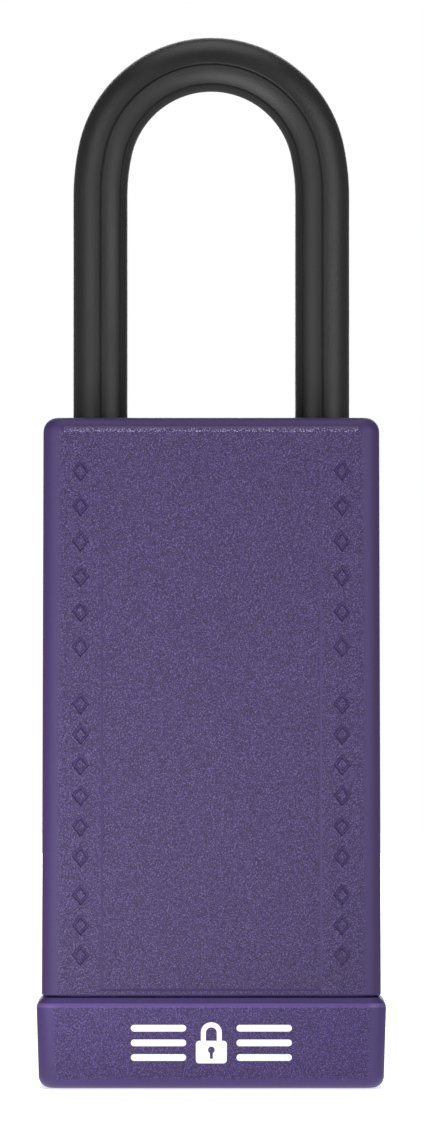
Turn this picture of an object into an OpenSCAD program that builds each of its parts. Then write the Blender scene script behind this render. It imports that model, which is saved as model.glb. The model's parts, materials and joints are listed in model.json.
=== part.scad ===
// Keyed safety padlock: a long insulated body with a plastic-coated steel shackle.
// The origin is the bottom centre of the base cap: +X to the toe leg, +Y to the back, +Z up.
// The shackle is closed, and the key plug stands at its released position, a quarter turn
// before locked. Sizes are in millimetres and angles in degrees.

/* [Shackle] */
// Diameter over the shackle's coating
sleeve_d = 6.5; // [6.3:0.1:6.7]
// Diameter of the steel bar in the coating
core_d = 5.3; // [5.1:0.1:5.3]
// Clear width between the coated legs
clear_w = 20.1; // [19.7:0.1:20.3]
// Clear height from the cover to the underside of the bow
clear_h = 39.2; // [30:0.1:75]
// Height that the opened shackle rises
lift = 14.8; // [14:0.1:15]

/* [Body cover] */
// Height of the cover's top above the base
cover_top = 80; // [76:0.5:90]
// Width of the cover at its lower edge
cover_w = 40.5; // [40:0.1:41]
// Depth of the cover at its lower edge
cover_d = 19.8; // [19.4:0.1:20.2]
// Moulding draft from the lower edge to the top, on each side
draft = 0.2; // [0.1:0.05:0.3]

/* [Base cap] */
// Widest width of the cap
cap_w = 41.8; // [41.4:0.1:42.4]
// Widest depth of the cap
cap_d = 21.2; // [20.8:0.1:21.8]
// Height of the cap
cap_h = 10.8; // [10:0.1:11.5]

/* [Lock body] */
// Width of the metal body
body_w = 36.6; // [36.4:0.1:36.6]
// Depth of the metal body
body_d = 16; // [15.6:0.1:16]

/* [Locking balls] */
// Diameter of each locking ball
ball_d = 6.35; // [6.3:0.05:6.35]
// Travel of each ball from released to locked
ball_travel = 1.1; // [1:0.05:1.1]

/* [Key cylinder] */
// Diameter of the key plug
plug_d = 10; // [9.8:0.1:10]
// Number of tumbler pins
pin_count = 6; // [4:1:6]
// Distance from one tumbler pin to the next
pin_pitch = 3.8; // [3.4:0.1:3.8]

/* [Hidden] */
$fn = 96;
HULL_FN = 32;
COIL_SIDES = 6;
CAM_STEP = 5;
eps = 0.01;
snug = 0.05;
slack = 0.1;
over = 1;

// Shackle
sleeve_r = sleeve_d / 2;
core_r = core_d / 2;
leg_x = clear_w / 2 + sleeve_r;
bow_z = cover_top + clear_h - leg_x + sleeve_r;
toe_rise = 0.8;
toe_z = cover_top + toe_rise - lift;
tip_bevel = 0.6;
sleeve_bore_r = core_r + 0.02;

// Lock body
top_wall = 1.8;
body_z = 2;
body_top = cover_top - top_wall;
body_edge_r = 2;
leg_bore_r = core_r + 0.07;
toe_bore_z = toe_z - 1;
sleeve_end = body_top - 2.2;
mouth_r = sleeve_r + 0.2;
mouth_z = sleeve_end - 0.2;

// Locking balls and the cam between them
ball_r = ball_d / 2;
ball_z = body_top - 7.7;
ball_bore_r = ball_r + 0.025;
ball_bite = 1;
ball_locked_x = leg_x - core_r + ball_bite - ball_r;
ball_rest_x = ball_locked_x - ball_travel;
bite_r = ball_r + 0.08;
cam_r = ball_rest_x - ball_r - slack;
cam_h = 6.6;
cam_flat_a = 30;
cam_z = ball_z - cam_h / 2;
cam_top = cam_z + cam_h;
chamber_r = cam_r + ball_travel + 0.19;
chamber_top = cam_top + 0.4;
spigot_r = 2;
spigot_h = 1.8;
spigot_bore_r = spigot_r + 0.08;
spigot_bore_top = cam_top + spigot_h + 0.3;
ball_bore_x = 1.3 - leg_x;
plug_wall_x = leg_x + leg_bore_r;

// Heel leg: a neck between the leg and a collar, held by a cross pin
dowel_r = 1;
heel_pin_x = leg_x - core_r;
heel_pin_z = ball_z - 7;
neck_r = core_r - dowel_r - slack;
neck_top = heel_pin_z + dowel_r + 0.2;
collar_top = heel_pin_z - dowel_r - slack - lift;
collar_h = 3.6;
heel_z = collar_top - collar_h;
spring_z = heel_z - 21;
heel_bore_z = spring_z - 0.1;
spring_r = 2.05;
spring_wire_r = 0.3;
spring_turns = 10;
spring_steps = 14;

// Key cylinder
plug_r = plug_d / 2;
barrel_r = 6.6;
barrel_wall_r = plug_r + 0.04;
barrel_top = 33;
keel_x = 12;
keel_y = 2.2;
plug_face_z = 0.5;
plug_end_z = barrel_top + 1.6;
shoulder_plug_r = plug_r + 0.6;
shoulder_h = 0.8;
bore_step_z = 36;
pin_r = 1.2;
pin_bore_r = pin_r + snug;
pin_tip_r = 0.5;
pin_tip_len = 0.7;
key_pin_x = plug_r - 0.25;
first_pin_z = 6.5;
driver_x = plug_r + 0.15;
driver_len = 3;
pin_spring_x = driver_x + driver_len + snug;
pin_spring_r = 0.9;
pin_wire_r = 0.16;
pin_spring_turns = 4;
pin_spring_steps = 12;
keyway_half = 3.9;
keyway_w = 1.3;
keyway_top = first_pin_z + (pin_count - 1) * pin_pitch + 2.5;
ward_t = 0.52;
ward_end_len = 2.6;
ward_mid_x = -0.2;
ward_mid_len = 1.8;
strip_t = 0.6;
strip_y = 1.5;
strip_x = keel_x - strip_t;
strip_z = body_z + 1.6;
strip_len = keyway_top - body_z - 0.2;
clip_z = barrel_top + 0.3;
clip_t = 0.6;
clip_groove_r = plug_r - 0.7;
clip_r = plug_r + 0.9;
clip_gap = 4.4;
guard_r = 0.8;
guard_y = 2.9;
guard_len = 4.8;
cylinder_pin_x = 9;
cylinder_pin_z = barrel_top - 2.4;
dowel_front = 6;
dowel_back = body_d / 2 - 0.2;

// Distance from the plug's axis to the tip of each key pin
key_cuts = [1.2, 0.3, 1.6, 0.6, 1.0, 0.4];

// Drive rod, its washer and the tube around it
rod_r = 2.2;
rod_bore_r = rod_r + 0.08;
tang_t = 1.5;
tang_len = 2.6;
tang_slot_len = 2 * tang_len + 0.4;
washer_t = 0.5;
washer_z = cam_z - slack - washer_t;
tube_r = chamber_r - slack;
tube_flange_r = barrel_r - 0.1;
tube_flange_z = plug_end_z + 0.3;
tube_top = washer_z - slack;

// Cover and cap
seam = 0.2;
cover_z = cap_h + seam;
edge_r = 2.5;
cover_foot_r = 0.4;
cover_top_r = 1.7;
cap_foot_r = 1.4;
cap_top_r = 0.95;
fit_gap = 0.1;
cavity_w = body_w + 2 * fit_gap;
cavity_d = body_d + 2 * fit_gap;
cavity_r = body_edge_r + fit_gap;
lip_t = 0.8;
lip_drop = 2.9;
panel_x = 13.2;
panel_sink = 0.08;
panel_y = cover_d / 2 - draft - panel_sink;
panel_z0 = 11.6;
panel_z1 = cover_top - 2.7;
cap_floor = body_z - fit_gap;
cap_taper = 0.33;
keyhole_r = plug_r + 0.3;
keyhole_bevel = 0.5;
rib_r = 0.5;
rib_bite = 0.3;
rib_len = 20;
cap_rib_z = 5;
cover_rib_z = cover_z + 4;

function pin_z(i) = first_pin_z + i * pin_pitch;

// Rise of the cam's rim at angle a of each half turn: none up to cam_flat_a, then up to the
// ball travel at 90 degrees and evenly back to none at 180
function cam_rise(a) =
    a <= cam_flat_a ? 0
    : a <= 90 ? ball_travel * (a - cam_flat_a) / (90 - cam_flat_a)
    : ball_travel * (180 - a) / 90;

// Point of the cam's rim at angle a of the full turn
function cam_point(a) = (cam_r + cam_rise(a % 180)) * [cos(a), sin(a)];

// Rounded rectangle about the origin
module rounded_rect(w, d, r) {
    square([w - 2 * r, d], center = true);
    square([w, d - 2 * r], center = true);
    for (x = [-1, 1], y = [-1, 1])
        translate([x * (w / 2 - r), y * (d / 2 - r)]) circle(r);
}

// Disc of radius r and height e whose top edge is rounded by e
module round_corner(r, e) {
    rotate_extrude($fn = HULL_FN) {
        square([r - e, e]);
        translate([r - e, 0]) intersection() {
            circle(e, $fn = HULL_FN);
            square(e);
        }
    }
}

// Block w0 x d0 at its base and w1 x d1 at its top, with upright edges of radius edge_r,
// base edges of radius e0 and top edges of radius e1
module soft_block(w0, d0, w1, d1, h, e0, e1) {
    hull() for (x = [-1, 1], y = [-1, 1]) {
        translate([x * (w0 / 2 - edge_r), y * (d0 / 2 - edge_r), e0])
            mirror([0, 0, 1]) round_corner(edge_r, e0);
        translate([x * (w1 / 2 - edge_r), y * (d1 / 2 - edge_r), h - e1])
            round_corner(edge_r, e1);
    }
}

// Round bar of radius r along the bow and down both legs, to z_heel and z_toe
module shackle_bar(r, z_heel, z_toe) {
    translate([0, 0, bow_z]) rotate([90, 0, 0])
        rotate_extrude(angle = 180) translate([leg_x, 0]) circle(r);
    translate([-leg_x, 0, z_heel]) cylinder(r = r, h = bow_z - z_heel);
    translate([leg_x, 0, z_toe]) cylinder(r = r, h = bow_z - z_toe);
}

// Cylinder of radius r from x0 to x1 along X
module along_x(r, x0, x1) {
    translate([x0, 0, 0]) rotate([0, 90, 0]) cylinder(r = r, h = x1 - x0);
}

// Cylinder of radius r from y0 to y1 along Y
module along_y(r, y0, y1) {
    translate([0, y1, 0]) rotate([90, 0, 0]) cylinder(r = r, h = y1 - y0);
}

// Ribs of half-round section on the front and back of a surface at y = reach
module snap_ribs(z, reach, r, length) {
    for (y = [-reach, reach]) translate([0, y, z]) along_x(r, -length / 2, length / 2);
}

// Coil spring of round wire that stands on z = 0, drawn with so many steps to a turn
module coil(r, wire_r, h, turns, steps) {
    n = turns * steps;
    sides = COIL_SIDES;
    points = [
        for (i = [0:n], j = [0:sides - 1])
            let (a = 360 * i / steps, b = 360 * j / sides, reach = r + wire_r * cos(b))
            [reach * cos(a), reach * sin(a), wire_r + (h - 2 * wire_r) * i / n + wire_r * sin(b)]
    ];
    walls = [
        for (i = [0:n - 1], j = [0:sides - 1])
            let (a = i * sides + j, b = i * sides + (j + 1) % sides)
            each [[a, b, b + sides], [a, b + sides, a + sides]]
    ];
    first_end = [for (j = [sides - 1:-1:0]) j];
    last_end = [for (j = [0:sides - 1]) n * sides + j];
    polyhedron(points, concat(walls, [first_end, last_end]));
}

// Turns a piece of the key plug from its locked position to its released one
module released() {
    rotate([0, 0, -90]) children();
}

module body_cover() {
    color("#584c74") difference() {
        union() {
            difference() {
                translate([0, 0, cover_z])
                    soft_block(cover_w, cover_d, cover_w - 2 * draft, cover_d - 2 * draft,
                        cover_top - cover_z, cover_foot_r, cover_top_r);
                translate([-panel_x, -cover_d, panel_z0])
                    cube([2 * panel_x, cover_d - panel_y, panel_z1 - panel_z0]);
            }
            translate([0, 0, cover_z - lip_drop]) linear_extrude(lip_drop + over)
                rounded_rect(cavity_w + 2 * lip_t, cavity_d + 2 * lip_t, cavity_r + lip_t);
        }
        difference() {
            translate([0, 0, cover_z - lip_drop - over])
                linear_extrude(body_top + fit_gap - cover_z + lip_drop + over)
                    rounded_rect(cavity_w, cavity_d, cavity_r);
            snap_ribs(cover_rib_z, cavity_d / 2 + rib_r - rib_bite, rib_r, rib_len);
        }
        for (x = [-leg_x, leg_x]) translate([x, 0, body_top])
            cylinder(r = mouth_r, h = top_wall + over);
    }
}

module base_cap() {
    color("#544676") difference() {
        soft_block(cap_w - 2 * cap_taper, cap_d - 2 * cap_taper, cap_w, cap_d, cap_h,
            cap_foot_r, cap_top_r);
        difference() {
            translate([0, 0, cap_floor]) linear_extrude(cap_h)
                rounded_rect(cavity_w, cavity_d, cavity_r);
            snap_ribs(cap_rib_z, cavity_d / 2 + rib_r - rib_bite, rib_r, rib_len);
        }
        translate([0, 0, cover_z - lip_drop - fit_gap]) linear_extrude(cap_h)
            rounded_rect(cavity_w + 2 * (lip_t + fit_gap), cavity_d + 2 * (lip_t + fit_gap),
                cavity_r + lip_t + fit_gap);
        translate([0, 0, -over]) cylinder(r = keyhole_r, h = cap_floor + 2 * over);
        translate([0, 0, -eps])
            cylinder(r1 = keyhole_r + keyhole_bevel, r2 = keyhole_r, h = keyhole_bevel);
    }
}

module lock_body() {
    color("silver") difference() {
        translate([0, 0, body_z]) linear_extrude(body_top - body_z)
            rounded_rect(body_w, body_d, body_edge_r);
        translate([-leg_x, 0, heel_bore_z]) cylinder(r = leg_bore_r, h = body_top);
        translate([leg_x, 0, toe_bore_z]) cylinder(r = leg_bore_r, h = body_top);
        for (x = [-leg_x, leg_x]) translate([x, 0, mouth_z]) cylinder(r = mouth_r, h = body_top);
        translate([0, 0, body_z - over])
            cylinder(r = barrel_r + snug, h = bore_step_z - body_z + over);
        cylinder(r = chamber_r, h = chamber_top);
        cylinder(r = spigot_bore_r, h = spigot_bore_top);
        translate([0, -keel_y - slack, body_z - over])
            cube([keel_x + slack, 2 * (keel_y + slack), barrel_top + 2 * slack - body_z + over]);
        translate([0, 0, ball_z]) along_x(ball_bore_r, ball_bore_x, body_w);
        translate([-heel_pin_x, 0, heel_pin_z]) along_y(dowel_r + eps, -dowel_front - slack, body_d);
        translate([cylinder_pin_x, 0, cylinder_pin_z])
            along_y(dowel_r + eps, -dowel_front - slack, body_d);
        for (z = [cap_rib_z, cover_rib_z])
            snap_ribs(z, cavity_d / 2 + rib_r - rib_bite, rib_r + fit_gap, rib_len + 2 * rib_r);
    }
}

module shackle() {
    color("gainsboro") difference() {
        union() {
            shackle_bar(core_r, neck_top, toe_z + tip_bevel);
            translate([leg_x, 0, toe_z]) cylinder(r1 = core_r - tip_bevel, r2 = core_r, h = tip_bevel);
            translate([-leg_x, 0, collar_top - eps])
                cylinder(r = neck_r, h = neck_top - collar_top + 2 * eps);
            translate([-leg_x, 0, heel_z + tip_bevel]) cylinder(r = core_r, h = collar_h - tip_bevel);
            translate([-leg_x, 0, heel_z]) cylinder(r1 = core_r - tip_bevel, r2 = core_r, h = tip_bevel);
        }
        for (x = [-ball_locked_x, ball_locked_x]) translate([x, 0, ball_z])
            along_y(bite_r, -core_r - over, core_r + over);
    }
}

module shackle_sleeve() {
    color("#454545") difference() {
        shackle_bar(sleeve_r, sleeve_end, sleeve_end);
        shackle_bar(sleeve_bore_r, sleeve_end - over, sleeve_end - over);
    }
}

module shackle_spring() {
    color("lightsteelblue") translate([-leg_x, 0, spring_z])
        coil(spring_r, spring_wire_r, heel_z - spring_z - snug, spring_turns, spring_steps);
}

module heel_pin() {
    color("gray") translate([-heel_pin_x, 0, heel_pin_z]) along_y(dowel_r, -dowel_front, dowel_back);
}

module ball_toe() {
    color("lightgray") translate([ball_rest_x, 0, ball_z]) sphere(ball_r);
}

module ball_heel() {
    color("lightgray") translate([-ball_rest_x, 0, ball_z]) sphere(ball_r);
}

module side_plug() {
    color("darkgray") translate([0, 0, ball_z])
        along_x(ball_bore_r - eps, plug_wall_x + 2 * slack, body_w / 2 - slack);
}

module actuator_cam() {
    color("goldenrod") difference() {
        union() {
            translate([0, 0, cam_z]) linear_extrude(cam_h)
                polygon([for (a = [0:CAM_STEP:360 - CAM_STEP]) cam_point(a)]);
            translate([0, 0, cam_top - eps]) cylinder(r = spigot_r, h = spigot_h + eps);
        }
        translate([0, 0, cam_z]) cube([2 * rod_bore_r, tang_t + slack, tang_slot_len], center = true);
    }
}

module thrust_washer() {
    color("darkgoldenrod") translate([0, 0, washer_z]) difference() {
        cylinder(r = tube_r, h = washer_t);
        translate([0, 0, -over]) cylinder(r = rod_bore_r, h = washer_t + 2 * over);
    }
}

module drive_rod() {
    rod_z = plug_end_z + slack;
    rod_top = cam_z - slack;
    color("slategray") {
        translate([0, 0, rod_z]) cylinder(r = rod_r, h = rod_top - rod_z);
        intersection() {
            translate([0, 0, rod_z - tang_len]) cylinder(r = rod_r, h = rod_top - rod_z + 2 * tang_len);
            translate([-rod_r, -tang_t / 2, rod_z - tang_len])
                cube([2 * rod_r, tang_t, rod_top - rod_z + 2 * tang_len]);
        }
    }
}

module spacer_tube() {
    color("whitesmoke") difference() {
        union() {
            translate([0, 0, tube_flange_z]) cylinder(r = tube_r, h = tube_top - tube_flange_z);
            translate([0, 0, tube_flange_z])
                cylinder(r = tube_flange_r, h = bore_step_z - snug - tube_flange_z);
        }
        translate([0, 0, tube_flange_z - over]) cylinder(r = rod_bore_r, h = tube_top);
    }
}

module cylinder_housing() {
    color("khaki") difference() {
        translate([0, 0, body_z]) linear_extrude(barrel_top - body_z) {
            circle(barrel_r);
            translate([0, -keel_y]) square([keel_x, 2 * keel_y]);
        }
        cylinder(r = barrel_wall_r, h = barrel_top + over);
        cylinder(r = shoulder_plug_r + slack, h = body_z + shoulder_h + slack);
        for (i = [0:pin_count - 1]) translate([0, 0, pin_z(i)])
            along_x(pin_bore_r, plug_r / 2, strip_x + eps);
        translate([strip_x, -strip_y - eps, strip_z - slack])
            cube([keel_x, 2 * (strip_y + eps), strip_len + 2 * slack]);
        translate([cylinder_pin_x, 0, cylinder_pin_z]) along_y(dowel_r + eps, -body_d, body_d);
    }
}

module cylinder_plug() {
    color("gold") released() difference() {
        union() {
            translate([0, 0, plug_face_z]) cylinder(r = plug_r, h = plug_end_z - plug_face_z);
            translate([0, 0, body_z]) cylinder(r = shoulder_plug_r, h = shoulder_h);
        }
        translate([-keyway_half, -keyway_w / 2, 0]) cube([2 * keyway_half, keyway_w, keyway_top]);
        translate([-keyway_half, -keyway_w / 2, 0])
            cube([ward_end_len, keyway_w + ward_t, keyway_top]);
        translate([ward_mid_x, -keyway_w / 2 - ward_t, 0])
            cube([ward_mid_len, keyway_w, keyway_top]);
        for (i = [0:pin_count - 1]) translate([0, 0, pin_z(i)])
            along_x(pin_bore_r, 0, plug_r + over);
        translate([0, 0, plug_end_z])
            cube([tang_t + slack, 2 * rod_bore_r, tang_slot_len], center = true);
        for (y = [-guard_y, guard_y]) translate([0, y, 0])
            cylinder(r = guard_r + eps, h = plug_face_z + guard_len + 2 * slack);
        translate([0, 0, clip_z - snug]) difference() {
            cylinder(r = plug_r + over, h = clip_t + 2 * snug);
            translate([0, 0, -over]) cylinder(r = clip_groove_r, h = clip_t + 2 * over);
        }
    }
}

module plug_circlip() {
    color("dimgray") released() translate([0, 0, clip_z]) difference() {
        cylinder(r = clip_r, h = clip_t);
        translate([0, 0, -over]) cylinder(r = clip_groove_r + snug, h = clip_t + 2 * over);
        translate([0, -clip_gap / 2, -over]) cube([clip_r + over, clip_gap, clip_t + 2 * over]);
    }
}

module key_pins() {
    color("orange") released() for (i = [0:pin_count - 1]) translate([0, 0, pin_z(i)]) {
        tip = key_cuts[i];
        along_x(pin_r, tip + pin_tip_len, key_pin_x);
        translate([tip, 0, 0]) rotate([0, 90, 0])
            cylinder(r1 = pin_tip_r, r2 = pin_r, h = pin_tip_len);
    }
}

module driver_pins() {
    color("sandybrown") for (i = [0:pin_count - 1]) translate([0, 0, pin_z(i)])
        along_x(pin_r, driver_x, driver_x + driver_len);
}

module pin_springs() {
    color("lightsteelblue") for (i = [0:pin_count - 1]) translate([pin_spring_x, 0, pin_z(i)])
        rotate([0, 90, 0])
            coil(pin_spring_r, pin_wire_r, strip_x - pin_spring_x - snug, pin_spring_turns,
                pin_spring_steps);
}

module chamber_cover() {
    color("burlywood") translate([strip_x + eps, -strip_y, strip_z])
        cube([strip_t - 2 * eps, 2 * strip_y, strip_len]);
}

module drill_guard_pins() {
    color("gray") released() for (y = [-guard_y, guard_y]) translate([0, y, plug_face_z + slack])
        cylinder(r = guard_r, h = guard_len);
}

module cylinder_pin() {
    color("gray") translate([cylinder_pin_x, 0, cylinder_pin_z])
        along_y(dowel_r, -dowel_front, dowel_back);
}

body_cover();
base_cap();
lock_body();
shackle();
shackle_sleeve();
shackle_spring();
heel_pin();
ball_toe();
ball_heel();
side_plug();
actuator_cam();
thrust_washer();
drive_rod();
spacer_tube();
cylinder_housing();
cylinder_plug();
plug_circlip();
key_pins();
driver_pins();
pin_springs();
chamber_cover();
drill_guard_pins();
cylinder_pin();
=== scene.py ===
"""The look of a safety padlock: cover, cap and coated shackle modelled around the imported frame.

Sizes are in millimetres and are turned to metres where a piece is made; the studio's lights and
its paper are in metres.
"""

import json
import math

import bmesh
import bpy
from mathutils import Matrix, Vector


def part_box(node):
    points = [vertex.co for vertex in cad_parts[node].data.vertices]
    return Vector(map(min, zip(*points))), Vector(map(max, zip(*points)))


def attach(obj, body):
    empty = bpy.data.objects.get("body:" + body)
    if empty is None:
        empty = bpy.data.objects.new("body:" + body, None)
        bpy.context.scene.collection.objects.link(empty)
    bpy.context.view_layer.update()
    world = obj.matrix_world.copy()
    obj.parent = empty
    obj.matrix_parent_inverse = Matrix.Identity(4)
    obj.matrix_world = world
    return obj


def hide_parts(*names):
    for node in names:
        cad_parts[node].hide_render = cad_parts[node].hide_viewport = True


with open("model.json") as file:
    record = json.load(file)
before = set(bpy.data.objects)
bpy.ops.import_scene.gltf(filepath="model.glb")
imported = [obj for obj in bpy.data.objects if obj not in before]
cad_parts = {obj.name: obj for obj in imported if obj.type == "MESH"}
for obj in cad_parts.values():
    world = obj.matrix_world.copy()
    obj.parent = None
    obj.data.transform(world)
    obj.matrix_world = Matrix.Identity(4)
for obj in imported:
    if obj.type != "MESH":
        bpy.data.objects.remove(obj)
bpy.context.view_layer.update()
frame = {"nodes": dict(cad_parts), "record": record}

MM = 0.001

# Sides of a round hole, and steps of an upright edge's rounding and of any other edge's
HOLE_SIDES = 96
UPRIGHT_STEPS = 12
EDGE_STEPS = 8

# Distance that a cutter or an added block runs past a surface
OVER = 1

# Clearance between pieces that are fitted together
FIT_GAP = 0.1


def node_size(name):
    """A CAD node's lowest and highest corners, in millimetres."""
    low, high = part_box(name)
    return low / MM, high / MM


CAP_HIGH = node_size("base_cap")[1]
COVER_LOW, COVER_HIGH = node_size("body_cover")
BODY_HIGH = node_size("lock_body")[1]
SLEEVE_LOW, SLEEVE_HIGH = node_size("shackle_sleeve")

# Base cap
CAP_W = 2 * CAP_HIGH.x
CAP_D = 2 * CAP_HIGH.y
CAP_TOP = CAP_HIGH.z
CAP_TAPER = 0.33
CAP_CHAMFER = 0.74
CAP_CHAMFER_R = 0.4
CAP_CHAMFER_STEPS = 3
CAP_FOOT_R = 1.4
CAP_FLOOR = 1.9
KEYHOLE_R = 5.3
KEYHOLE_BEVEL = 0.5

# Body cover
SEAM = 0.2
COVER_W = 2 * COVER_HIGH.x
COVER_D = 2 * COVER_HIGH.y
COVER_FOOT = CAP_TOP + SEAM
COVER_TOP = COVER_HIGH.z
DRAFT = 0.2
UPRIGHT_R = 2.5
COVER_TOP_R = 1.7
COVER_FOOT_R = 0.3
LIP_T = 0.8
CAVITY_W = 2 * (BODY_HIGH.x + FIT_GAP)
CAVITY_D = 2 * (BODY_HIGH.y + FIT_GAP)
BODY_EDGE_R = 2
CAVITY_R = BODY_EDGE_R + FIT_GAP
CAVITY_TOP = BODY_HIGH.z + FIT_GAP

# Normal's Y that a face on the flat of the front stays under
FRONT_FACING = -0.999

# Sunk label panel on the cover's front
PANEL_X = 13.2
PANEL_SINK = 0.08
PANEL_Y = COVER_D / 2 - DRAFT - PANEL_SINK
PANEL_FOOT = 11.6
PANEL_TOP = COVER_TOP - 2.7
PANEL_SLOPE = 0.3

# Engraved marks beside the panel: height of the first of each group, count and pitch
MARK_X = 15.6
MARK_W = 2.1
MARK_H = 2.6
MARK_CUT_R = 0.3
MARK_DEPTH = 0.21
MARK_GROUPS = ((73.7, 6, 4.2), (45.9, 6, 3.65), (23.1, 3, 3.6))

# Shackle coating
SLEEVE_R = 3.25
SLEEVE_WALL = 0.58
SLEEVE_INNER_R = SLEEVE_R - SLEEVE_WALL / 2
LEG_X = SLEEVE_HIGH.x - SLEEVE_R
BOW_R = 13.0
SHOULDER_A = math.radians(12)
SHOULDER_R = (LEG_X - BOW_R * math.cos(SHOULDER_A)) / (1 - math.cos(SHOULDER_A))
BOW_Z = SLEEVE_HIGH.z - SLEEVE_R - BOW_R
LEG_TOP = BOW_Z + (BOW_R - SHOULDER_R) * math.sin(SHOULDER_A)
SLEEVE_SIDES = 96
BOW_STEPS = 96
SHOULDER_STEPS = 8
WITNESS_DEPTH = 0.19
RIDGE_DEPTH = 0.32
RIDGE_A = math.radians(41.25)
MOUTH_R = SLEEVE_R + 0.2

# White print on the cap: a padlock sign with bars at each side. Each part of the sign has its
# width, height and corner radius, and the height of its middle above the print's
PRINT_Z = 5.46
PRINT_T = 0.05
PRINT_SUNK = 0.005
PRINT_CUT_T = 1
SIGN_BOW = (2.5, 3.6, 1.2, 0.65)
SIGN_BOW_WINDOW = (1.3, 3.3, 0.64, 0.2)
SIGN_BODY = (3.7, 2.7, 0.4, -1.1)
SIGN_KEYHOLE = (0.8, 0.8, 0.39, -0.85)
SIGN_KEY_SLOT = (0.36, 1.1, 0.1, -1.35)
BAR_W = 6.6
BAR_H = 0.8
BAR_R = 0.39
BAR_X = 6.3
BAR_PITCH = 1.75

# Upward lean of a face on the crest, as its normal's Z: these faces get the painted highlight
CREST_FROM = 0.02
CREST_TO = 0.46

# Camera: the frame's height at the plane that it is set on, and what it is aimed at
CAMERA_DISTANCE = 1600
FRAME_HEIGHT = 134.73
FOCUS_PLANE = 3
AIM_X = 0.08
AIM_Z = 62.72

# Soft lights: name, place and size in metres, and power in watts
SOFTBOXES = (
    ("softbox_left", (-0.75, -0.75, 0.3), 0.8, 4),
    ("softbox_right", (0.8, -0.7, 0.3), 0.8, 5.6),
    ("softbox_top", (0, 0, 1.1), 0.9, 4.6),
    ("softbox_back", (0, 1.2, 0.35), 0.8, 7),
)
ROOM_LIGHT = 0.2

# Paper under the padlock: its width and the middle of its bright patch, in metres, and the
# drop below the padlock that keeps their faces apart, in millimetres
PAPER_W = 3
PATCH_PLACE = (-0.058, -0.11, 0)
PAPER_DROP = 0.1


# ---------------------------------------------------------------- modelling by hand, in code


def select_only(*pieces):
    """Selects these pieces alone, the last one active."""
    bpy.ops.object.select_all(action="DESELECT")
    for piece in pieces:
        piece.select_set(True)
    bpy.context.view_layer.objects.active = pieces[-1]


def apply_place(piece):
    """Puts the piece's place, turn and size into its mesh."""
    select_only(piece)
    bpy.ops.object.transform_apply(location=True, rotation=True, scale=True)


def pick(piece, kind, wanted):
    """Opens the piece for editing, with those of its VERT, EDGE or FACE parts selected that
    wanted() takes."""
    select_only(piece)
    bpy.ops.object.mode_set(mode="EDIT")
    bpy.ops.mesh.select_mode(type=kind)
    bpy.ops.mesh.select_all(action="DESELECT")
    mesh = bmesh.from_edit_mesh(piece.data)
    parts = {"VERT": mesh.verts, "EDGE": mesh.edges, "FACE": mesh.faces}[kind]
    for part in parts:
        if wanted(part):
            part.select_set(True)
    mesh.select_flush_mode()
    bmesh.update_edit_mesh(piece.data)


def close():
    """Ends the editing that pick() began."""
    bpy.ops.object.mode_set(mode="OBJECT")


def round_edges(piece, wanted, radius, segments):
    """Rounds the edges that wanted() takes, or chamfers them where segments is 1."""
    pick(piece, "EDGE", wanted)
    bpy.ops.mesh.bevel(offset=radius * MM, segments=segments, profile=0.5, affect="EDGES")
    close()


def is_upright(edge):
    """Test for the edges that run up and down."""
    a, b = edge.verts
    return abs(a.co.z - b.co.z) > 0.9 * edge.calc_length()


def lies_at(z):
    """Test for the edges or faces that lie flat at a height."""
    return lambda part: all(abs(v.co.z / MM - z) < 0.01 for v in part.verts)


def block(name, foot_z, foot, top_z, top, upright_r, foot_r=0, top_r=0):
    """Box that stands on foot_z, foot = (width, depth) at its base and top = (width, depth)."""
    height = top_z - foot_z
    bpy.ops.mesh.primitive_cube_add(
        size=MM, location=(0, 0, (foot_z + height / 2) * MM), scale=(*foot, height)
    )
    piece = bpy.context.object
    piece.name = name
    apply_place(piece)
    pick(piece, "FACE", lies_at(top_z))
    bpy.ops.transform.resize(
        value=(top[0] / foot[0], top[1] / foot[1], 1), center_override=(0, 0, top_z * MM)
    )
    close()
    round_edges(piece, is_upright, upright_r, UPRIGHT_STEPS)
    for z, radius in ((foot_z, foot_r), (top_z, top_r)):
        if radius:
            round_edges(piece, lies_at(z), radius, EDGE_STEPS)
    return piece


def rod(radius, low, high, flare=0):
    """Upright cylinder from the point low to the point high, both in mm, wider by flare on top."""
    bpy.ops.mesh.primitive_cone_add(
        vertices=HOLE_SIDES,
        radius1=radius * MM,
        radius2=(radius + flare) * MM,
        depth=(high[2] - low[2]) * MM,
        location=(low[0] * MM, low[1] * MM, (low[2] + high[2]) / 2 * MM),
    )
    piece = bpy.context.object
    apply_place(piece)
    return piece


def combine(piece, tool, operation):
    """Cuts the tool out of the piece, or adds it, and puts the tool away."""
    change = piece.modifiers.new("combine", "BOOLEAN")
    change.operation = operation
    change.solver = "EXACT"
    change.object = tool
    select_only(piece)
    bpy.ops.object.modifier_apply(modifier=change.name)
    bpy.data.objects.remove(tool)


def smooth(piece, degrees=30):
    """Smooth shading that keeps the flats flat and the edges over that angle sharp."""
    select_only(piece)
    bpy.ops.object.shade_smooth_by_angle(angle=math.radians(degrees))
    weights = piece.modifiers.new("weights", "WEIGHTED_NORMAL")
    weights.keep_sharp = True
    bpy.ops.object.modifier_apply(modifier=weights.name)


# ---------------------------------------------------------------- pieces


def front_y(z):
    """Front face of the cover at a height: it leans back by the moulding draft."""
    return -(COVER_D / 2 - DRAFT * (z - COVER_FOOT) / (COVER_TOP - COVER_FOOT))


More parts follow.
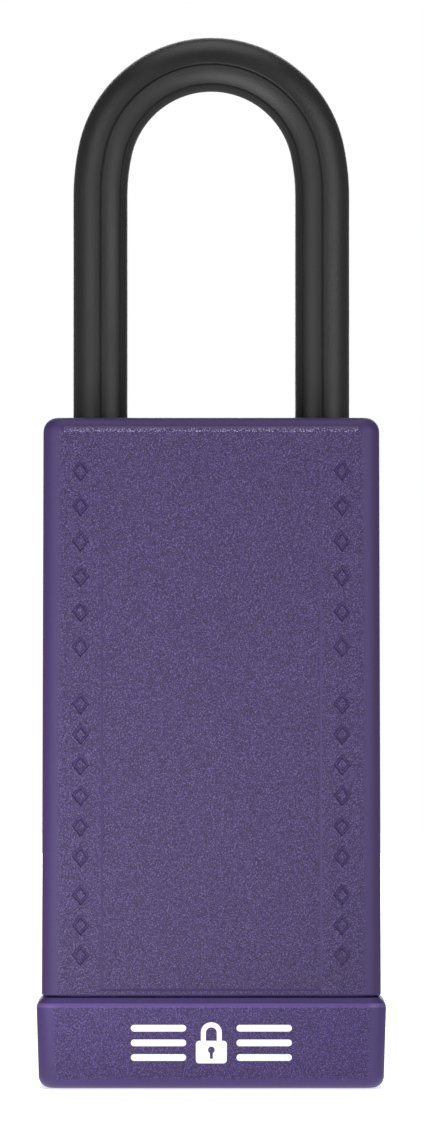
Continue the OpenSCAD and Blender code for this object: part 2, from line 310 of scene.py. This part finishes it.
def sink_panel(cover):
    """Cuts the panel's outline into the front face and presses its floor back to a true upright."""
    lines = []
    for inner in (0, PANEL_SLOPE):
        lines += [((side * (PANEL_X - inner), 0, 0), (1, 0, 0)) for side in (-1, 1)]
        lines += [((0, 0, PANEL_FOOT + inner), (0, 0, 1)), ((0, 0, PANEL_TOP - inner), (0, 0, 1))]
    for point, normal in lines:
        pick(cover, "FACE", lambda face: face.normal.y < FRONT_FACING)
        bpy.ops.mesh.bisect(plane_co=[c * MM for c in point], plane_no=normal)
        close()

    def on_floor(face):
        middle = face.calc_center_median() / MM
        inside_x = abs(middle.x) < PANEL_X - PANEL_SLOPE
        inside_z = PANEL_FOOT + PANEL_SLOPE < middle.z < PANEL_TOP - PANEL_SLOPE
        return face.normal.y < FRONT_FACING and inside_x and inside_z

    pick(cover, "FACE", on_floor)
    bpy.ops.transform.resize(value=(1, 0, 1), center_override=(0, -PANEL_Y * MM, 0))
    close()


def engraving():
    """The cutter for the marks: lozenge rings of oval section, half sunk in the front face."""
    bpy.ops.mesh.primitive_torus_add(
        major_segments=4,
        minor_segments=12,
        major_radius=(MARK_H / 2 - MARK_CUT_R) * MM,
        minor_radius=MARK_CUT_R * MM,
        rotation=(math.pi / 2, 0, 0),
    )
    first = bpy.context.object
    apply_place(first)
    pick(first, "VERT", lambda vert: True)
    bpy.ops.transform.resize(
        value=(MARK_W / MARK_H, MARK_DEPTH / MARK_CUT_R, 1), center_override=(0, 0, 0)
    )
    close()
    cutters = []
    for side in (-1, 1):
        for top, count, pitch in MARK_GROUPS:
            for i in range(count):
                z = top - i * pitch
                cutter = first.copy()
                cutter.data = first.data.copy()
                cutter.location = (side * MARK_X * MM, front_y(z) * MM, z * MM)
                bpy.context.collection.objects.link(cutter)
                cutters.append(cutter)
    bpy.data.objects.remove(first)
    select_only(*cutters)
    bpy.ops.object.join()
    joined = bpy.context.object
    apply_place(joined)
    return joined


def make_cover():
    """Hollow moulding with a lip at its foot, the mouths of the legs, the panel and the marks."""
    top = (COVER_W - 2 * DRAFT, COVER_D - 2 * DRAFT)
    cover = block(
        "body_cover_shell", COVER_FOOT, (COVER_W, COVER_D), COVER_TOP, top,
        UPRIGHT_R, COVER_FOOT_R, COVER_TOP_R,
    )
    sink_panel(cover)
    lip = (CAVITY_W + 2 * LIP_T, CAVITY_D + 2 * LIP_T)
    combine(cover, block("lip", COVER_LOW.z, lip, COVER_FOOT + OVER, lip, CAVITY_R + LIP_T), "UNION")
    inside = (CAVITY_W, CAVITY_D)
    combine(
        cover,
        block("cavity", COVER_LOW.z - OVER, inside, CAVITY_TOP, inside, CAVITY_R),
        "DIFFERENCE",
    )
    for x in (-LEG_X, LEG_X):
        mouth = rod(MOUTH_R, (x, 0, CAVITY_TOP - OVER), (x, 0, COVER_TOP + OVER))
        combine(cover, mouth, "DIFFERENCE")
    combine(cover, engraving(), "DIFFERENCE")
    smooth(cover)
    return cover


def make_cap():
    """Hollow moulding with a chamfered top edge, a rebate for the cover's lip and the keyhole."""
    foot = (CAP_W - 2 * CAP_TAPER, CAP_D - 2 * CAP_TAPER)
    cap = block("base_cap_shell", 0, foot, CAP_TOP, (CAP_W, CAP_D), UPRIGHT_R, CAP_FOOT_R)
    round_edges(cap, lies_at(CAP_TOP), CAP_CHAMFER, 1)
    round_edges(cap, lies_at(CAP_TOP - CAP_CHAMFER), CAP_CHAMFER_R, CAP_CHAMFER_STEPS)
    inside = (CAVITY_W, CAVITY_D)
    combine(cap, block("hollow", CAP_FLOOR, inside, CAP_TOP + OVER, inside, CAVITY_R), "DIFFERENCE")
    gap = LIP_T + FIT_GAP
    rebate = (CAVITY_W + 2 * gap, CAVITY_D + 2 * gap)
    combine(
        cap,
        block("rebate", COVER_LOW.z - FIT_GAP, rebate, CAP_TOP + OVER, rebate, CAVITY_R + gap),
        "DIFFERENCE",
    )
    combine(cap, rod(KEYHOLE_R, (0, 0, -OVER), (0, 0, CAP_FLOOR + OVER)), "DIFFERENCE")
    flare = KEYHOLE_BEVEL + OVER
    bevel = rod(KEYHOLE_R + flare, (0, 0, -OVER), (0, 0, KEYHOLE_BEVEL), -flare)
    combine(cap, bevel, "DIFFERENCE")
    smooth(cap)
    return cap


def press_grooves(ring, around, depth):
    """Presses the ring's nearest vertices inwards at those angles from the way to the other leg,
    which makes a V groove there, two sides of the ring wide."""
    step = 2 * math.pi / SLEEVE_SIDES
    for angle in around:
        way = Vector((-math.cos(angle), math.sin(angle), 0))

        def is_there(vert):
            out = Vector((vert.co.x - LEG_X * MM, vert.co.y, 0))
            return out.length > SLEEVE_INNER_R * MM and out.angle(way) < 0.55 * step

        pick(ring, "VERT", is_there)
        bpy.ops.transform.translate(value=way * -depth * MM)
        close()


def make_sleeve():
    """Ring profile drawn at the foot of the toe leg, then run up, round the bow and down."""
    foot_z = SLEEVE_LOW.z
    bpy.ops.mesh.primitive_circle_add(
        vertices=SLEEVE_SIDES, radius=SLEEVE_R * MM, fill_type="NGON",
        location=(LEG_X * MM, 0, foot_z * MM),
    )
    sleeve = bpy.context.object
    sleeve.name = "shackle_coating"
    apply_place(sleeve)
    pick(sleeve, "FACE", lambda face: True)
    bpy.ops.mesh.inset(thickness=SLEEVE_WALL * MM)
    bpy.ops.mesh.delete(type="ONLY_FACE")
    close()
    press_grooves(sleeve, (math.pi / 2, -math.pi / 2), WITNESS_DEPTH)
    press_grooves(sleeve, (RIDGE_A, -RIDGE_A), RIDGE_DEPTH)
    pick(sleeve, "FACE", lambda face: True)
    up = (0, 0, (LEG_TOP - foot_z) * MM)
    bpy.ops.mesh.extrude_region_move(TRANSFORM_OT_translate={"value": up})
    shoulder_x = LEG_X - SHOULDER_R
    turns = (
        ((shoulder_x, 0, LEG_TOP), SHOULDER_A, SHOULDER_STEPS),
        ((0, 0, BOW_Z), math.pi - 2 * SHOULDER_A, BOW_STEPS),
        ((-shoulder_x, 0, LEG_TOP), SHOULDER_A, SHOULDER_STEPS),
    )
    for middle, angle, steps in turns:
        bpy.ops.mesh.spin(
            steps=steps, angle=angle, center=[c * MM for c in middle], axis=(0, 1, 0)
        )
    down = (0, 0, -up[2])
    bpy.ops.mesh.extrude_region_move(TRANSFORM_OT_translate={"value": down})
    bpy.ops.mesh.select_all(action="SELECT")
    bpy.ops.mesh.remove_doubles(threshold=0.0001 * MM)
    bpy.ops.mesh.normals_make_consistent(inside=False)
    close()
    smooth(sleeve, 20)
    return sleeve


# ---------------------------------------------------------------- white print on the cap


def plate(width, height, radius, z, x=0, thick=PRINT_T):
    """Flat plate that stands in the XZ plane with rounded corners, in millimetres."""
    bpy.ops.mesh.primitive_cube_add(
        size=MM, location=(x * MM, 0, z * MM), scale=(width, thick, height)
    )
    piece = bpy.context.object
    apply_place(piece)

    def runs_back(edge):
        a, b = edge.verts
        return abs(a.co.y - b.co.y) > 0.9 * edge.calc_length()

    round_edges(piece, runs_back, radius, EDGE_STEPS)
    return piece


def make_print():
    """A plain padlock sign between two stacks of bars, laid on the cap's leaning front."""
    sign = plate(*SIGN_BOW)
    combine(sign, plate(*SIGN_BOW_WINDOW, thick=PRINT_CUT_T), "DIFFERENCE")
    combine(sign, plate(*SIGN_BODY), "UNION")
    combine(sign, plate(*SIGN_KEYHOLE, thick=PRINT_CUT_T), "DIFFERENCE")
    combine(sign, plate(*SIGN_KEY_SLOT, thick=PRINT_CUT_T), "DIFFERENCE")
    bars = []
    for side in (-1, 1):
        for z in (-BAR_PITCH, 0, BAR_PITCH):
            bars.append(plate(BAR_W, BAR_H, BAR_R, z, side * BAR_X))
    select_only(*bars, sign)
    bpy.ops.object.join()
    lean = math.atan(CAP_TAPER / CAP_TOP)
    front = CAP_D / 2 - CAP_TAPER * (1 - PRINT_Z / CAP_TOP) + PRINT_T / 2 - PRINT_SUNK
    sign.name = "cap_print"
    sign.location = (0, -front * MM, PRINT_Z * MM)
    sign.rotation_euler = (lean, 0, 0)
    apply_place(sign)
    return sign


# ---------------------------------------------------------------- materials

# Name of the mouldings' attribute that their grain follows
FLATNESS = "flatness"

# Turn of the grain's pattern, so that no flat face runs along its cells
GRAIN_TURN = (0.6, 0.4, 0.7)


def linear(code):
    """Linear colour of an sRGB hex value."""
    parts = [int(code[i : i + 2], 16) / 255 for i in (1, 3, 5)]
    return [c / 12.92 if c <= 0.04045 else ((c + 0.055) / 1.055) ** 2.4 for c in parts] + [1]


def per_metre(millimetres):
    """Scale of a pattern whose features are that far apart."""
    return 1 / (millimetres * MM)


def node(tree, kind, sockets=None, **settings):
    """Adds a shader node with its settings; a socket's value may be another node's output."""
    made = tree.nodes.new("ShaderNode" + kind)
    for name, value in settings.items():
        setattr(made, name, value)
    for name, value in (sockets or {}).items():
        if isinstance(value, bpy.types.NodeSocket):
            tree.links.new(value, made.inputs[name])
        else:
            made.inputs[name].default_value = value
    return made


def new_material(name):
    """Material whose node tree is still empty."""
    material = bpy.data.materials.new(name)
    material.use_nodes = True
    material.node_tree.nodes.clear()
    return material


def moulded_nylon(name, base, glint, grain_depth, roughness, speck):
    """Polyamide 6, injection moulded in a spark-eroded mould: dull and even, with a sandy
    grain of 0.14 mm on the flats that runs out on the rounded edges. The grain is drawn a
    little coarser than the real one, so that it shows. Its hollows are painted darker, as
    painted shade, and the raised grain paler towards the glint colour, as painted glints; the
    rounded edges get a little of the glint colour too, as a painted sheen. speck is how far the
    painted shade and glints go, 0 to 1."""
    material = new_material(name)
    tree = material.node_tree
    place = node(tree, "TexCoord").outputs["Object"]
    flatness = node(tree, "Attribute", attribute_name=FLATNESS).outputs["Fac"]
    amount = node(
        tree, "MapRange",
        {"Value": flatness, "From Min": 0.8, "From Max": 0.99, "To Min": 0.06, "To Max": 1},
    ).outputs["Result"]
    turned = node(tree, "Mapping", {"Vector": place, "Rotation": GRAIN_TURN}).outputs["Vector"]
    grain = node(
        tree, "TexNoise", {"Vector": turned, "Scale": per_metre(0.14), "Detail": 2, "Roughness": 0.6}
    ).outputs["Fac"]
    cloud = node(
        tree, "TexNoise", {"Vector": place, "Scale": per_metre(9), "Detail": 2}
    ).outputs["Fac"]
    # Painted shade: the grain's hollows are painted darker
    pit = node(
        tree, "MapRange",
        {"Value": grain, "From Min": 0.36, "From Max": 0.52, "To Min": 0.85 * speck, "To Max": 0},
    ).outputs["Result"]
    drift = node(
        tree, "MapRange",
        {"Value": cloud, "From Min": 0.3, "From Max": 0.7, "To Min": 0.97, "To Max": 1.03},
    ).outputs["Result"]
    dark = node(tree, "Math", {0: pit, 1: amount}, operation="MULTIPLY").outputs[0]
    shade = node(tree, "Math", {0: drift, 1: dark}, operation="SUBTRACT").outputs[0]
    deep = node(
        tree, "VectorMath", {0: linear(base)[:3], "Scale": shade}, operation="SCALE"
    ).outputs["Vector"]
    # Painted glints: the raised grain is painted paler, towards the glint colour
    painted_top_glints = node(
        tree, "MapRange",
        {"Value": grain, "From Min": 0.5, "From Max": 0.72, "To Min": 0, "To Max": speck},
    ).outputs["Result"]
    # Painted sheen: the rounded edges are painted a little paler, towards the glint colour
    painted_edge_sheen = node(
        tree, "MapRange",
        {"Value": flatness, "From Min": 0.8, "From Max": 0.99, "To Min": 0.08, "To Max": 0},
    ).outputs["Result"]
    light = node(
        tree, "Math", {0: painted_top_glints, 1: amount, 2: painted_edge_sheen}, operation="MULTIPLY_ADD"
    ).outputs[0]
    colour = node(
        tree, "Mix", {0: light, 6: deep, 7: linear(glint)}, data_type="RGBA"
    ).outputs[2]
    gloss = node(
        tree, "MapRange",
        {"Value": grain, "From Min": 0.3, "From Max": 0.7,
         "To Min": roughness + 0.06, "To Max": roughness - 0.06},
    ).outputs["Result"]
    height = node(tree, "Math", {0: grain, 1: amount}, operation="MULTIPLY").outputs[0]
    bump = node(
        tree, "Bump", {"Height": height, "Strength": 1, "Distance": grain_depth * MM}
    ).outputs["Normal"]
    shader = node(
        tree, "BsdfPrincipled",
        {"Base Color": colour, "Roughness": gloss, "IOR": 1.48, "Normal": bump},
    )
    node(tree, "OutputMaterial", {"Surface": shader.outputs["BSDF"]})
    return material


def coating(name, base, roughness):
    """Black polyamide moulded over the steel: satin, with a fine grain of 0.2 mm."""
    material = new_material(name)
    tree = material.node_tree
    place = node(tree, "TexCoord").outputs["Object"]
    grain = node(
        tree, "TexNoise", {"Vector": place, "Scale": per_metre(0.2), "Detail": 2}
    ).outputs["Fac"]
    cloud = node(
        tree, "TexNoise", {"Vector": place, "Scale": per_metre(6), "Detail": 3}
    ).outputs["Fac"]
    shade = node(
        tree, "MapRange",
        {"Value": grain, "From Min": 0.3, "From Max": 0.7, "To Min": 0.8, "To Max": 1.2},
    ).outputs["Result"]
    colour = node(
        tree, "VectorMath", {0: linear(base)[:3], "Scale": shade}, operation="SCALE"
    ).outputs["Vector"]
    gloss = node(
        tree, "MapRange",
        {"Value": cloud, "From Min": 0.3, "From Max": 0.7,
         "To Min": roughness - 0.04, "To Max": roughness + 0.04},
    ).outputs["Result"]
    bump = node(
        tree, "Bump", {"Height": grain, "Strength": 1, "Distance": 0.03 * MM}
    ).outputs["Normal"]
    shader = node(
        tree, "BsdfPrincipled",
        {"Base Color": colour, "Roughness": gloss, "IOR": 1.45, "Normal": bump},
    )
    node(tree, "OutputMaterial", {"Surface": shader.outputs["BSDF"]})
    return material


def machined_metal(name, base, roughness, tool_mark, stretch):
    """Metal from a lathe, a mill or a die: fine tool marks of that width, drawn out along the
    axis where stretch is small, with the roughness of the cut."""
    material = new_material(name)
    tree = material.node_tree
    place = node(tree, "TexCoord").outputs["Object"]
    along = node(tree, "Mapping", {"Vector": place, "Scale": stretch}).outputs["Vector"]
    marks = node(
        tree, "TexNoise", {"Vector": along, "Scale": per_metre(tool_mark), "Detail": 3}
    ).outputs["Fac"]
    shade = node(
        tree, "MapRange",
        {"Value": marks, "From Min": 0.3, "From Max": 0.7, "To Min": 0.88, "To Max": 1.08},
    ).outputs["Result"]
    colour = node(
        tree, "VectorMath", {0: linear(base)[:3], "Scale": shade}, operation="SCALE"
    ).outputs["Vector"]
    gloss = node(
        tree, "MapRange",
        {"Value": marks, "From Min": 0.3, "From Max": 0.7,
         "To Min": roughness + 0.06, "To Max": roughness - 0.06},
    ).outputs["Result"]
    bump = node(
        tree, "Bump", {"Height": marks, "Strength": 0.6, "Distance": 0.01 * MM}
    ).outputs["Normal"]
    shader = node(
        tree, "BsdfPrincipled",
        {"Base Color": colour, "Metallic": 1.0, "Roughness": gloss, "Normal": bump},
    )
    node(tree, "OutputMaterial", {"Surface": shader.outputs["BSDF"]})
    return material


def acetal(name, base):
    """Natural acetal tube, extruded: milky, smooth and slightly waxy."""
    material = new_material(name)
    tree = material.node_tree
    place = node(tree, "TexCoord").outputs["Object"]
    cloud = node(
        tree, "TexNoise", {"Vector": place, "Scale": per_metre(3), "Detail": 3}
    ).outputs["Fac"]
    shade = node(
        tree, "MapRange", {"Value": cloud, "To Min": 0.94, "To Max": 1.04}
    ).outputs["Result"]
    colour = node(
        tree, "VectorMath", {0: linear(base)[:3], "Scale": shade}, operation="SCALE"
    ).outputs["Vector"]
    shader = node(
        tree, "BsdfPrincipled", {"Base Color": colour, "Roughness": 0.35, "IOR": 1.48}
    )
    node(tree, "OutputMaterial", {"Surface": shader.outputs["BSDF"]})
    return material


def pad_ink(name, base):
    """Two-part pad-printing ink, a thin opaque film: matt white that takes up some grain."""
    material = new_material(name)
    tree = material.node_tree
    place = node(tree, "TexCoord").outputs["Object"]
    grain = node(
        tree, "TexNoise", {"Vector": place, "Scale": per_metre(0.3), "Detail": 2}
    ).outputs["Fac"]
    shade = node(
        tree, "MapRange",
        {"Value": grain, "From Min": 0.3, "From Max": 0.7, "To Min": 0.9, "To Max": 1.0},
    ).outputs["Result"]
    colour = node(
        tree, "VectorMath", {0: linear(base)[:3], "Scale": shade}, operation="SCALE"
    ).outputs["Vector"]
    bump = node(
        tree, "Bump", {"Height": grain, "Strength": 1, "Distance": 0.01 * MM}
    ).outputs["Normal"]
    shader = node(
        tree, "BsdfPrincipled",
        {"Base Color": colour, "Roughness": 0.5, "IOR": 1.5, "Normal": bump},
    )
    node(tree, "OutputMaterial", {"Surface": shader.outputs["BSDF"]})
    return material


def note_flatness(piece):
    """Notes x^4 + y^4 + z^4 of the normal at every corner of every face: 1 on a face that is
    square to an axis, and less on a rounded edge."""
    notes = piece.data.attributes.new(FLATNESS, "FLOAT", "CORNER")
    for note, normal in zip(notes.data, piece.data.corner_normals):
        note.value = sum(part**4 for part in normal.vector)


def dress(piece, body, crest, round_corners):
    """Gives a moulding its finish, and a painted highlight to the crest, where the front and back
    just
    start to round off upwards: a paler material there stands for the light that this edge catches.
    round_corners runs the crest on round the corners and the sides."""
    note_flatness(piece)
    piece.data.materials.append(body)
    piece.data.materials.append(crest)
    for face in piece.data.polygons:
        leans = CREST_FROM < face.normal.z < CREST_TO
        square_on = abs(face.normal.x) < 0.05
        face.material_index = 1 if leans and (square_on or round_corners) else 0


# ---------------------------------------------------------------- the pieces, in place

cover = make_cover()
cap = make_cap()
sleeve = make_sleeve()
cap_print = make_print()

dress(
    cover,
    moulded_nylon("cover_nylon", "#2d1950", "#6f5f94", 0.05, 0.55, 0.8),
    # Painted highlight: a pale glint line along the crest of the front and back
    moulded_nylon("cover_nylon_crest_highlight", "#2d1950", "#bfb4d2", 0.08, 0.45, 1),
    round_corners=False,
)
dress(
    cap,
    moulded_nylon("cap_nylon", "#2f195a", "#6e5c98", 0.05, 0.52, 0.8),
    # Painted highlight: a lighter base and glint on the faces just under the top chamfer, the cap's
    # light line
    moulded_nylon("cap_nylon_crest_highlight", "#503b7c", "#9c8ebc", 0.03, 0.42, 0.2),
    round_corners=True,
)
sleeve.data.materials.append(coating("shackle_polyamide", "#191717", 0.42))
cap_print.data.materials.append(pad_ink("pad_ink_white", "#f0f2f2"))

# Stretch of the tool marks: drawn out along Z, or even all round
ALONG_Z = (1, 1, 0.08)
EVEN = (1, 1, 1)

# Finish for each material slot of the nodes that keep their CAD shapes
FINISHES = {
    "body_aluminium": machined_metal("drawn_aluminium", "#c6c8ca", 0.34, 0.15, ALONG_Z),
    "hardened_steel": machined_metal("zinc_plated_steel", "#b4b7ba", 0.28, 0.2, ALONG_Z),
    "plated_steel": machined_metal("polished_ball_steel", "#c2c4c6", 0.12, 0.3, EVEN),
    "spring_steel": machined_metal("drawn_spring_wire", "#8b8e92", 0.3, 0.1, EVEN),
    "cylinder_brass": machined_metal("turned_brass", "#c8a458", 0.26, 0.12, EVEN),
    "pin_bronze": machined_metal("turned_nickel_silver", "#b59a6c", 0.25, 0.1, EVEN),
    "cam_brass": machined_metal("milled_brass", "#bd9a50", 0.3, 0.15, ALONG_Z),
    "rod_steel": machined_metal("turned_free_cutting_steel", "#999ca0", 0.3, 0.12, EVEN),
    "tube_acetal": acetal("extruded_acetal", "#e4e2da"),
}
SLOT_OF = {part["node"]: part["material_slot"] for part in frame["record"]["subparts"]}
for name, cad_node in frame["nodes"].items():
    finish = FINISHES.get(SLOT_OF[name])
    if finish:
        cad_node.data.materials.clear()
        cad_node.data.materials.append(finish)

for piece, body, stands_for, slot in (
    (cover, "case", "body_cover", "cover_nylon"),
    (cap, "case", "base_cap", "cap_nylon"),
    (sleeve, "shackle", "shackle_sleeve", "shackle_coating"),
):
    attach(piece, body)
    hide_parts(stands_for)
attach(cap_print, "case")

# ---------------------------------------------------------------- studio


def softbox(name, place, size, power):
    """Square light of that size in metres, at a place in metres, aimed at the padlock."""
    light = bpy.data.lights.new(name, "AREA")
    light.size = size
    light.energy = power
    lamp = bpy.data.objects.new(name, light)
    lamp.location = place
    lamp.visible_camera = False
    aim = Vector((0, 0, AIM_Z * MM)) - Vector(place)
    lamp.rotation_euler = aim.to_track_quat("-Z", "Y").to_euler()
    bpy.context.collection.objects.link(lamp)


def make_floor():
    """White paper on a light table, a little dimmer under the padlock. What it throws onto the
    padlock comes mostly from the front: from a bright patch on the left, and from round its
    foot."""
    bpy.ops.mesh.primitive_plane_add(size=PAPER_W, location=(0, 0, -PAPER_DROP * MM))
    floor = bpy.context.object
    floor.name = "floor"
    material = new_material("floor_paper")
    tree = material.node_tree
    place = node(tree, "TexCoord").outputs["Object"]
    away = node(tree, "VectorMath", {0: place}, operation="LENGTH").outputs["Value"]
    glow = node(
        tree, "MapRange",
        {"Value": away, "From Min": 0.15, "From Max": 0.8, "To Min": 0.6, "To Max": 0.95},
    ).outputs["Result"]
    paper = node(
        tree, "BsdfPrincipled",
        {"Base Color": (0.85, 0.85, 0.85, 1), "Roughness": 0.9,
         "Emission Color": (1, 1, 1, 1), "Emission Strength": glow},
    )
    depth = node(tree, "SeparateXYZ", {"Vector": place}).outputs["Y"]
    front = node(
        tree, "MapRange",
        {"Value": depth, "From Min": -0.04, "From Max": 0.08, "To Min": 1, "To Max": 0.35},
    ).outputs["Result"]
    reach = node(
        tree, "VectorMath", {0: place, 1: PATCH_PLACE}, operation="DISTANCE"
    ).outputs["Value"]
    patch = node(
        tree, "MapRange",
        {"Value": reach, "From Min": 0.03, "From Max": 0.11, "To Min": 4.2, "To Max": 0},
    ).outputs["Result"]
    foot = node(
        tree, "MapRange",
        {"Value": away, "From Min": 0.02, "From Max": 0.05, "To Min": 0.5, "To Max": 0},
    ).outputs["Result"]
    spots = node(tree, "Math", {0: patch, 1: foot}, operation="ADD").outputs[0]
    strength = node(tree, "Math", {0: front, 1: spots}, operation="ADD").outputs[0]
    thrown = node(tree, "Emission", {"Color": (1, 1, 1, 1), "Strength": strength})
    seen = node(tree, "LightPath").outputs["Is Camera Ray"]
    mixed = node(
        tree, "MixShader",
        {"Fac": seen, 1: thrown.outputs["Emission"], 2: paper.outputs["BSDF"]},
    )
    node(tree, "OutputMaterial", {"Surface": mixed.outputs["Shader"]})
    floor.data.materials.append(material)


def make_studio():
    """Soft lights, the paper, and a white backdrop that lights the padlock only a little."""
    for box in SOFTBOXES:
        softbox(*box)
    make_floor()

    world = bpy.data.worlds.new("studio")
    bpy.context.scene.world = world
    world.use_nodes = True
    tree = world.node_tree
    tree.nodes.clear()
    seen = node(tree, "LightPath").outputs["Is Camera Ray"]
    backdrop = node(tree, "Background", {"Color": (1, 1, 1, 1), "Strength": 1.0})
    room = node(tree, "Background", {"Color": (1, 1, 1, 1), "Strength": ROOM_LIGHT})
    mixed = node(
        tree, "MixShader",
        {"Fac": seen, 1: room.outputs["Background"], 2: backdrop.outputs["Background"]},
    )
    node(tree, "OutputWorld", {"Surface": mixed.outputs["Shader"]})
    bpy.context.scene.view_settings.view_transform = "Standard"


def make_camera():
    """Long lens, square on to the front at about half height."""
    data = bpy.data.cameras.new("camera")
    data.sensor_fit = "VERTICAL"
    data.sensor_height = 36
    data.lens = data.sensor_height * CAMERA_DISTANCE / FRAME_HEIGHT
    data.clip_end = 10000 * MM
    camera = bpy.data.objects.new("camera", data)
    camera.location = (AIM_X * MM, -(CAMERA_DISTANCE + FOCUS_PLANE) * MM, AIM_Z * MM)
    camera.rotation_euler = (math.pi / 2, 0, 0)
    bpy.context.collection.objects.link(camera)
    bpy.context.scene.camera = camera


make_studio()
make_camera()
